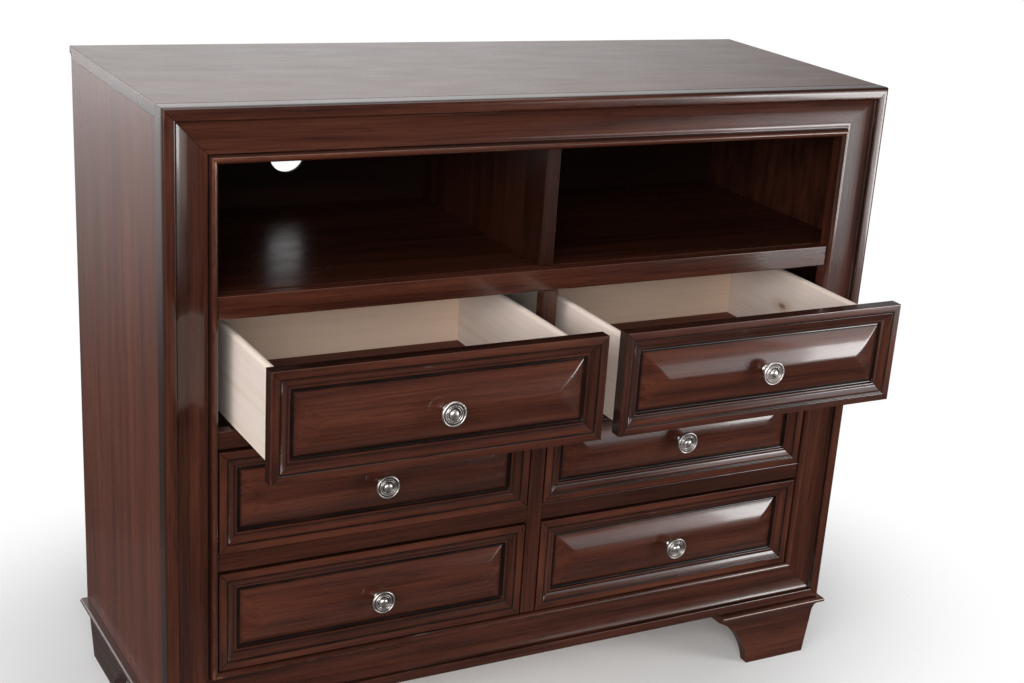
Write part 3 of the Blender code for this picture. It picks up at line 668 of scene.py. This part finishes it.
class CHEST_OT_carcass(bpy.types.Operator):
    """Build the top and side panels"""

    bl_idname = "chest.carcass"
    bl_label = "Top and Sides"

    def execute(self, context):
        arris = context.scene.chest_sizes.board_arris
        low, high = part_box("top_panel")
        back_low, back_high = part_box("back_panel")
        depth, rabbet = back_low.y - FIT, back_high.z + FIT
        corners = [(low.y, low.z), (depth, low.z), (depth, rabbet),
                   (high.y, rabbet), (high.y, high.z), (low.y, high.z)]
        top = board_piece("top_panel_board", corners, 0, low.x, high.x, arris,
                          seams=((0, 0.9), (5, 0.6)))
        place(top, "chest", "cherry_panel", "panel_x", "top_panel")
        for side, sign in SIDES:
            node = f"side_panel_{side}"
            low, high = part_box(node)
            outer, inner = (high.x, low.x) if sign > 0 else (low.x, high.x)
            rabbet = sign * (back_high.x + FIT)
            corners = [(inner, low.y), (outer, low.y), (outer, high.y),
                       (rabbet, high.y), (rabbet, depth), (inner, depth)]
            # the panel's inner face, inside the bays, is painted dark as painted shade; the seams
            # are dark joints
            panel = board_piece(f"{node}_board", corners, 2, low.z, high.z, FINE_ARRIS,
                                seams=((1, 1.0),), end_seam=1.0, painted_shade=((-sign, 0.0), 0.8))
            place(panel, "chest", "cherry_panel", "side_z", node)
        return {"FINISHED"}


class CHEST_OT_media_bays(bpy.types.Operator):
    """Build the shelf and divider of the media bays, and finish the back panel"""

    bl_idname = "chest.media_bays"
    bl_label = "Media Bays"

    def execute(self, context):
        # the divider, shelf and back panel take dark tones: a dark stain, made darker still as
        # painted shade deep in the bays
        divider = board_from_node("media_divider", 1, 0.0008)
        place(divider, "chest", "interior", "interior_z", "media_divider")
        foot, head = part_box("media_divider")
        low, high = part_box("media_shelf")
        left, right, housing = foot.x - FIT, head.x + FIT, foot.z - 0.0001
        corners = [(low.x, low.z), (high.x, low.z), (high.x, high.z), (right, high.z),
                   (right, housing), (left, housing), (left, high.z), (low.x, high.z)]
        shelf = board_piece("media_shelf_board", corners, 1, low.y, high.y, FINE_ARRIS)
        place(shelf, "chest", "interior", "shelf_x", "media_shelf")
        finish_packed("back_panel", "backing_x")
        return {"FINISHED"}


class CHEST_OT_rails(bpy.types.Operator):
    """Build the shelf's front rail, the centre stile and the rails between the drawers"""

    bl_idname = "chest.rails"
    bl_label = "Rails and Stile"

    def execute(self, context):
        arris = context.scene.chest_sizes.board_arris
        boards = [("shelf_front_rail", 0, "cherry_x")]
        # the rails between the drawers take the darker rail tone: painted shade for their recess
        boards += [(f"drawer_rail_{level}_{side}", 0, "rail_x")
                   for level in LEVELS[:2] for side, _ in SIDES]
        boards += [("centre_stile", 2, "cherry_z")]
        for node, axis, wood in boards:
            place(board_from_node(node, axis, arris), "chest", "cherry_frame", wood, node)
        return {"FINISHED"}


def front_section(half_height, rise, bulge):
    """The section of a drawer front, back edge round to ridge: run, fall, glaze and painted shade.

    The moulded part is the listed points with their corners cut. Then the panel rises by its rise
    times a share of the way times one plus the bulge times the rest of the way. The runs are
    nudged apart, so that no two are alike.
    """
    # the front's edge face is darkened, as glaze and as painted shade
    side = ((0.0, FRONT_THICKNESS, 0.85), (0.0, 0.003, 0.75))
    moulding = rounded(np.vstack((side, np.array(FRONT_SECTION) * (0.001, 0.001, 1.0))), 2)
    start, edge, dark = moulding[-1]
    share = np.linspace(0.0, 1.0, 26)[1:]
    way = share * (half_height - start)
    panel = np.stack((start + way, edge - rise * share * (1.0 + bulge * (1.0 - share)),
                      dark * np.exp(-way / 0.0022)), axis=-1)
    section = np.vstack((moulding, panel))
    section[:, 0] += np.linspace(0.0, 2e-5, len(section)) * (section[:, 0] < 0.02)
    section[:, 0] = np.maximum.accumulate(section[:, 0] + np.arange(len(section)) * 1e-7)
    return section


def relief_faces(columns, rows, corner):
    """Faces of a grid of points, with the squares on the corners' diagonals cut along them.

    The outer loop of points is closed by one flat face at the back.
    """
    i, j = np.meshgrid(np.arange(columns - 1), np.arange(rows - 1), indexing="ij")
    a = i * rows + j
    quads = np.stack((a, a + rows, a + rows + 1, a + 1), axis=-1)
    from_left, from_low = np.minimum(i, columns - 2 - i), np.minimum(j, rows - 2 - j)
    mitred = (from_left == from_low) & (from_left < corner)
    rising = (i < columns / 2) == (j < rows / 2)
    plain = quads[~mitred].tolist()
    up, down = quads[mitred & rising], quads[mitred & ~rising]
    cut = np.concatenate((up[:, (0, 1, 2)], up[:, (0, 2, 3)],
                          down[:, (0, 1, 3)], down[:, (1, 2, 3)]))
    low = np.arange(columns) * rows
    high = low + rows - 1
    left = np.arange(rows)
    right = left + (columns - 1) * rows
    loop = np.concatenate((low[::-1], left[1:], high[1:], right[::-1][1:-1]))
    return plain + cut.tolist() + [loop.tolist()]


def mark_upright(mesh, low, high):
    """Marks the faces of a front's two upright members: nearer to an end than to a long edge."""
    middles = np.zeros(len(mesh.polygons) * 3, np.float32)
    mesh.polygons.foreach_get("center", middles)
    x, _, z = middles.reshape(-1, 3).T
    in_x, in_z = np.minimum(x - low.x, high.x - x), np.minimum(z - low.z, high.z - z)
    add_layer(mesh, "upright", "FACE", (in_x < in_z) & (in_x < PANEL_EDGE))


def front_piece(node, sizes):
    """A moulded drawer front with its raised panel.

    Its depth at a point is the section's at the point's distance from the nearer edge. The two
    distances are blended where the panel's hips and ridge are rounded. Glaze and painted shade pool
    towards the moulding's corners and lie in its grooves, glaze darkens its mitres, and the beads
    are lightened, partly as wear and partly as a painted highlight, most of all at the mitres.
    """
    low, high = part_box(node)
    wide, tall = high.x - low.x, high.z - low.z
    section = front_section(tall / 2.0, sizes.pillow_rise, sizes.pillow_bulge)
    run, fall, dark = section.T
    proud = soft_step(-hollows(section[:, :2], 0.0032), 0.0004, 0.0014)
    x = np.append(run, wide - run[::-1])
    z = np.append(run, tall - run[::-1][1:])
    in_x, in_z = np.minimum(x, wide - x)[:, None], np.minimum(z, tall - z)[None, :]
    panel = soft_step(np.minimum(in_x, in_z), PANEL_EDGE - 0.0002, 0.043)
    inward = soft_min(in_x, in_z, sizes.hip_rounding * panel)
    y = high.y - FRONT_THICKNESS + np.interp(inward, run, fall)
    points = np.stack(np.broadcast_arrays(low.x + x[:, None], y, low.z + z[None, :]), axis=-1)
    apart = np.abs(in_x - in_z)
    mitre = 1.0 - soft_step(apart, 0.0002, 0.0012)
    # glaze and painted shade pool towards the moulding's corners
    pooled_glaze_and_shade = 1.0 - soft_step(np.maximum(in_x, in_z), 0.02, 0.060)
    moulded = inward < PANEL_EDGE - 0.0003
    glaze_and_shade = np.maximum(np.interp(inward, run, dark), (0.35 * pooled_glaze_and_shade + 0.5 * mitre) * moulded)
    # proud beads and mitre corners are lightened: partly wear, partly a painted highlight
    worn_and_highlight = np.interp(inward, run, proud)
    chips_and_glints = (1.0 - soft_step(apart, 0.001, 0.010)) * worn_and_highlight
    layers = {"glaze_and_shade": np.clip(glaze_and_shade, 0.0, 1.0),
              "worn_and_highlight": np.clip(0.10 * worn_and_highlight + 0.5 * chips_and_glints, 0.0, 1.0)}
    faces = relief_faces(len(x), len(z), len(run) - 1)
    piece = finish_piece(f"{node}_panel", points.reshape(-1, 3), faces, layers, 60.0)
    mark_upright(piece.data, low, high)
    return piece


class CHEST_OT_drawer_fronts(bpy.types.Operator):
    """Build the six moulded drawer fronts with their raised panels"""

    bl_idname = "chest.drawer_fronts"
    bl_label = "Drawer Fronts"

    def execute(self, context):
        for drawer in DRAWERS:
            node = f"{drawer}_front"
            piece = front_piece(node, context.scene.chest_sizes)
            place(piece, drawer, "cherry_front", "front_m", node)
        return {"FINISHED"}


class CHEST_OT_drawer_boxes(bpy.types.Operator):
    """Build the sides and backs of the six drawer boxes, and finish their bottoms"""

    bl_idname = "chest.drawer_boxes"
    bl_label = "Drawer Boxes"

    def execute(self, context):
        radii = (0.0008, 0.0008, 0.0055, 0.0055)  # the upper arrises are the rounder ones
        for drawer in DRAWERS:
            for hand in ("left", "right"):
                node = f"{drawer}_side_{hand}"
                wood = "knotted_y" if node == "drawer_upper_right_side_right" else "birch_y"
                board = board_from_node(node, 1, 0.0005, radii)
                place(board, drawer, "drawer_wood", wood, node)
            back = f"{drawer}_back"
            place(board_from_node(back, 0, 0.001), drawer, "drawer_wood", "birch_x", back)
            finish_packed(f"{drawer}_bottom", "bottom_x")
        return {"FINISHED"}


class CHEST_OT_knobs(bpy.types.Operator):
    """Build the six ringed knobs with their screws"""

    bl_idname = "chest.knobs"
    bl_label = "Knobs"

    def execute(self, context):
        shank, head, chamfer = 0.0020, 0.0045, 0.0008
        turn = np.linspace(0.0, 2.0 * math.pi, 80, endpoint=False)
        shares = np.array(KNOB_SECTION) / (1000, 1000, 10)
        for drawer in DRAWERS:
            node = f"{drawer}_knob"
            low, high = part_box(node)
            centre, radius = (low + high) / 2.0, (high.x - low.x) / 2.0
            seat, inside = low.y + KNOB_HEIGHT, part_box(f"{drawer}_front")[1].y + FIT
            section = rounded(shares * (radius, -KNOB_HEIGHT, 1.0) + (0.0, seat, 0.0), 1)
            screw = np.array([(0.0004, high.y), (0.0036, high.y), (head, high.y - chamfer),
                              (head, inside), (shank, inside), (shank, seat)])
            outline = np.vstack((screw, section[:, :2]))
            out, depth = outline[:, :1], outline[:, 1:]
            x, z = centre.x + out * np.cos(turn), centre.z + out * np.sin(turn)
            rings = np.stack(np.broadcast_arrays(x, depth, z), axis=-1)
            patina = np.append(np.zeros(len(screw)), section[:, 2])[:, None]
            layers = {"glaze_and_shade": np.broadcast_to(patina, x.shape)}
            piece = tube_piece(f"{node}_turning", rings, layers)
            place(piece, drawer, "knob_metal", "nickel", node)
        return {"FINISHED"}


def base_section(top, overhang):
    """Section of the cap, cove and foot board: inset from the frame's face, and fall from the top.

    The lip is a half circle, the cove a quarter of an ellipse, and the board below tapers back.
    """
    lip, cove_drop, inset, taper = 0.0084, 0.0365, 0.006, 0.0054
    radius = lip / 2.0
    nose = radius - overhang
    angle = np.linspace(0.0, math.pi, 15)
    lip_line = np.stack((nose - radius * np.sin(angle), radius * (1.0 - np.cos(angle))), -1)
    angle = np.linspace(0.0, math.pi / 2.0, 16)[1:]
    cove = np.stack((nose + (inset - nose) * np.sin(angle),
                     cove_drop - (cove_drop - lip) * np.cos(angle)), -1)
    fall = np.linspace(cove_drop, top, 12)[1:]
    board = np.stack((inset + taper * (fall - cove_drop) / (top - cove_drop), fall), -1)
    return np.vstack((lip_line, cove, board))


def arch_height(x, run, rise, angle):
    """Height of the arch x along its run: a circular arc that leaves level ground at the run's end.

    The arc starts at the given fall angle at x = 0 and height = rise, and ends at height 0.
    """
    chord = math.hypot(run, rise)
    sweep = math.atan2(rise, run) - angle
    radius = chord / (2.0 * math.sin(sweep))
    heading = angle + 2.0 * sweep * np.linspace(0.0, 1.0, 60)
    along = radius * (np.sin(heading) - math.sin(angle))
    down = radius * (math.cos(angle) - np.cos(heading))
    return np.interp(x, along, rise - down)


def stations_over(places, counts):
    """Stations from the first place to the last, each stretch in its own number of equal steps."""
    parts = [np.linspace(a, b, n + 1)[1:] for a, b, n in zip(places, places[1:], counts)]
    return np.concatenate((places[:1], *parts))


def foot_rings(section, top, stations, low_at, back):
    """Rings of a base board. Each is the section cut off at the arch, then its flat back.

    A station's section keeps its shape down to the height of the arch there. The point's place
    along the board is the station's, less a share of its inset that grows to one at the mitre.
    """
    run = run_along(section)
    cut = np.interp(top - low_at, section[:, 1], run)
    at = cut[:, None] * np.linspace(0.0, 1.0, 44)
    ends = np.ones((len(stations), 1))
    inset = np.hstack((np.interp(at, run, section[:, 0]), back * ends, back * ends))
    fall = np.hstack((np.interp(at, run, section[:, 1]), (top - low_at)[:, None], 0.0 * ends))
    share = (stations / stations[-1])[:, None] ** 6
    return stations[:, None] - share * inset, inset, top - fall


def base_layers(fall, inset):
    """Glaze and painted shade in the cove's upper corner; wear and painted highlight on the lip's
    nose.
    """
    cove = np.exp(-((fall - 0.0100) / 0.0022) ** 2) * (inset < 0.004)
    nose = np.exp(-((fall - 0.0042) / 0.0030) ** 2) * (inset < -0.004)
    return {"glaze_and_shade": 0.85 * cove, "worn_and_highlight": 0.35 * nose}


class CHEST_OT_feet(bpy.types.Operator):
    """Build the bracket feet and the side base boards with their moulded cap"""

    bl_idname = "chest.feet"
    bl_label = "Feet and Base"

    def execute(self, context):
        sizes = context.scene.chest_sizes
        run, angle, back = sizes.arch_run, math.radians(25.0), 0.030
        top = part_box("foot_front_right")[1].z
        front, corner_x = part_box("frame_right_stile")[0].y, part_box("frame_right_stile")[1].x
        section = base_section(top, sizes.cap_overhang)
        arch_start, crown = top - 0.0145, top - 0.043
        rear_foot, crown_run = 0.120, 0.051
        rear_crown = rear_foot + run
        front_crown = rear_crown + crown_run
        for side, sign in SIDES:
            node = f"foot_front_{side}"
            inner = sign * min(abs(end.x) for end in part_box(node))
            stations = stations_over((0.0, run, abs(sign * corner_x - inner)), (29, 23))
            arch = arch_height(stations, run, arch_start, angle)
            low_at = np.where(stations < run, arch, 0.0)
            along, inset, z = foot_rings(section, top, stations, low_at, back)
            rings = np.stack((inner + sign * along, front + inset, z), axis=-1)
            foot = tube_piece(f"{node}_bracket", rings, base_layers(top - z, inset))
            place(foot, "chest", "cherry_frame", "cherry_x", node)
            node = f"base_side_{side}"
            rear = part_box(node)[1].y
            places = (0.0, rear_foot, rear_crown, front_crown, front_crown + run, rear - front)
            stations = stations_over(places, (5, 25, 3, 25, 15))
            arch = np.minimum(arch_height(rear_crown - stations, run, crown, angle),
                              arch_height(stations - front_crown, run, crown, angle))
            inside = (stations > rear_foot) & (stations < front_crown + run)
            along, inset, z = foot_rings(section, top, stations, np.where(inside, arch, 0.0), back)
            rings = np.stack((sign * (corner_x - inset), rear - along, z), axis=-1)
            base = tube_piece(f"{node}_board", rings, base_layers(top - z, inset))
            place(base, "chest", "cherry_frame", "cherry_y", node)
        return {"FINISHED"}


class CHEST_OT_hidden_boards(bpy.types.Operator):
    """Finish the guide racks and the bottom panel, which stay as packed"""

    bl_idname = "chest.hidden_boards"
    bl_label = "Guides and Bottom"

    def execute(self, context):
        for node in ["bottom_panel"] + [f"guide_rack_{level}" for level in LEVELS]:
            finish_packed(node, "hardwood_x")
        return {"FINISHED"}


def add_light(name, location, target, size, power):
    """A soft rectangular light that faces a point."""
    lamp = bpy.data.lights.new(name, "AREA")
    lamp.shape = "RECTANGLE"
    lamp.size, lamp.size_y = size
    lamp.energy = power
    light = bpy.data.objects.new(name, lamp)
    light.location = location
    light.rotation_euler = (Vector(target) - Vector(location)).to_track_quat("-Z", "Y").to_euler()
    light.visible_camera = False
    bpy.context.scene.collection.objects.link(light)


def studio_world(dim, level):
    """White to the eye all round. Gloss sees the white backdrop behind and left of the chest.

    The backdrop's share for a direction is an eased step of the cosine between its bearing and the
    backdrop's, times an eased step of its height. Everything else that gloss sees is the dim room,
    and soft light of an even level comes from all round.
    """
    world = bpy.data.worlds.new("studio")
    world.use_nodes = True
    tree = world.node_tree
    lit = tree.nodes["Background"]
    fill(tree, lit, {"Color": (1.0, 1.0, 1.0, 1.0), "Strength": level})
    way = wire(tree, "TexCoord").outputs["Generated"]
    bearing = vectors(tree, "NORMALIZE", vectors(tree, "MULTIPLY", way, (1.0, 1.0, 0.0)))
    middle = math.radians(-22.0)
    aim = vectors(tree, "DOT_PRODUCT", bearing, (math.sin(middle), math.cos(middle), 0.0), 1)
    height = wire(tree, "SeparateXYZ", {0: way}).outputs[2]
    share = maths(tree, "MULTIPLY", spread(tree, aim, 0.31, 0.74, run="SMOOTHSTEP"),
                  spread(tree, height, -0.36, -0.13, run="SMOOTHSTEP"))
    room = grey(tree, spread(tree, share, 0.0, 1.0, dim, 1.0))
    path = wire(tree, "LightPath").outputs
    colour = mix_colour(tree, path["Is Glossy Ray"], (1.0, 1.0, 1.0), room)
    seen = wire(tree, "Background", {"Color": colour, "Strength": 1.0})
    factor = maths(tree, "ADD", path["Is Camera Ray"], path["Is Glossy Ray"])
    factor = maths(tree, "ADD", factor, path["Is Transmission Ray"], clamp=True)
    fill(tree, tree.nodes["World Output"], {"Surface": mix_shader(tree, factor, lit, seen)})
    return world


def floor_paper(colour, centre, full, gone):
    """Pale matt paper that thins out into the white backdrop between two distances from a centre.

    Distances along x count for less, so the paper is an oval. Gloss sees it much thinner, as of a
    floor that's dark near the chest.
    """
    material, tree, shader = new_material("floor_paper")
    fill(tree, shader, {"Base Color": (*colour, 1.0), "Roughness": 0.9})
    apart = vectors(tree, "SUBTRACT", object_place(tree), centre)
    reach = vectors(tree, "LENGTH", vectors(tree, "MULTIPLY", apart, (0.72, 1.0, 1.0)), output=1)
    glossy = wire(tree, "LightPath").outputs["Is Glossy Ray"]
    share = maths(tree, "MAXIMUM", spread(tree, reach, full, gone, run="SMOOTHSTEP"),
                  maths(tree, "MULTIPLY", glossy, 0.94))
    clear = wire(tree, "BsdfTransparent")
    fill(tree, tree.nodes["Material Output"], {"Surface": mix_shader(tree, share, shader, clear)})
    return material


class CHEST_OT_stage(bpy.types.Operator):
    """Build the floor, the soft lights, the backdrop's world and the camera"""

    bl_idname = "chest.stage"
    bl_label = "Stage"

    def execute(self, context):
        scene = context.scene
        stage = scene.chest_stage
        mesh = bpy.data.meshes.new("floor")
        reach = 3.0
        signs = ((-1.0, -1.0), (1.0, -1.0), (1.0, 1.0), (-1.0, 1.0))
        mesh.from_pydata([(a * reach, b * reach, 0.0) for a, b in signs], [], [(0, 1, 2, 3)])
        floor = bpy.data.objects.new("floor", mesh)
        scene.collection.objects.link(floor)
        mesh.materials.append(floor_paper(stage.floor_colour, (0.0, 0.20, 0.0), 0.40, 0.86))
        for light in (
            ("key low", (1.97, -1.73, 0.60), (0.2, -0.3, 0.60), (0.90, 0.70), stage.key_power),
            ("key high", (1.97, -1.73, 1.35), (0.2, -0.3, 1.35), (0.90, 1.20), stage.upper_power),
            ("key edge", (1.50, -2.15, 0.55), (0.0, -0.3, 0.55), (0.80, 0.80), stage.edge_power),
            ("front", (-1.85, -3.40, 2.05), (0.0, -0.3, 0.6), (2.2, 1.4), stage.front_power),
            ("left", (-2.47, -1.66, 1.35), (0.0, -0.2, 0.70), (1.2, 1.7), stage.left_power),
            ("side", (-3.10, -0.60, 1.6), (0.0, 0.0, 0.55), (1.8, 1.8), stage.side_power),
            ("back left", (-1.78, 1.87, 0.85), (-0.61, 0.0, 0.95), (1.2, 0.5), stage.back_power),
            ("overhead", (0.0, -0.4, 3.1), (0.0, -0.1, 0.5), (2.4, 2.0), stage.top_power),
        ):
            add_light(*light)
        scene.world = studio_world(0.06, 0.09)
        scene.view_settings.view_transform = "Standard"
        eye = bpy.data.cameras.new("camera")
        eye.lens, eye.sensor_width = 60.05, 36.0
        eye.shift_x, eye.shift_y = -0.0705, 0.0782
        right = (0.864547, -0.496457, 0.078030)
        up = (0.117362, 0.350425, 0.929208)
        back = (-0.488656, -0.794187, 0.361224)
        turn = Matrix((right, up, back)).transposed().to_4x4()
        scene.camera = bpy.data.objects.new("camera", eye)
        scene.camera.matrix_world = Matrix.Translation((-1.24757, -2.26584, 1.49919)) @ turn
        scene.collection.objects.link(scene.camera)
        return {"FINISHED"}


class CHEST_PT_sidebar(bpy.types.Panel):
    """Lists the chest's sizes, finishes and pieces"""

    bl_idname = "CHEST_PT_sidebar"
    bl_label = "Media Chest"
    bl_space_type = "VIEW_3D"
    bl_region_type = "UI"
    bl_category = "Media Chest"

    def draw(self, context):
        layout = self.layout
        for group in SETTINGS:
            box = layout.box()
            values = getattr(context.scene, group)
            for name in values.__annotations__:
                box.prop(values, name)
        for operator in OPERATORS:
            layout.operator(operator.bl_idname)


OPERATORS = (
    CHEST_OT_face_frame, CHEST_OT_carcass, CHEST_OT_media_bays, CHEST_OT_rails,
    CHEST_OT_drawer_fronts, CHEST_OT_drawer_boxes, CHEST_OT_knobs, CHEST_OT_feet,
    CHEST_OT_hidden_boards, CHEST_OT_stage,
)
SETTINGS = {"chest_sizes": ChestSizes, "chest_finishes": ChestFinishes, "chest_stage": ChestStage}
CLASSES = (*SETTINGS.values(), *OPERATORS, CHEST_PT_sidebar)


def register():
    """Registers the classes and hangs the settings on the scene."""
    for item in CLASSES:
        bpy.utils.register_class(item)
    for name, group in SETTINGS.items():
        setattr(bpy.types.Scene, name, PointerProperty(type=group))


def unregister():
    """Takes the settings off the scene and unregisters the classes."""
    for name in SETTINGS:
        delattr(bpy.types.Scene, name)
    for item in reversed(CLASSES):
        bpy.utils.unregister_class(item)


def main():
    """Builds every piece in order."""
    register()
    bpy.ops.chest.face_frame()
    bpy.ops.chest.carcass()
    bpy.ops.chest.media_bays()
    bpy.ops.chest.rails()
    bpy.ops.chest.drawer_fronts()
    bpy.ops.chest.drawer_boxes()
    bpy.ops.chest.knobs()
    bpy.ops.chest.feet()
    bpy.ops.chest.hidden_boards()
    bpy.ops.chest.stage()


if __name__ == "__main__":
    main()
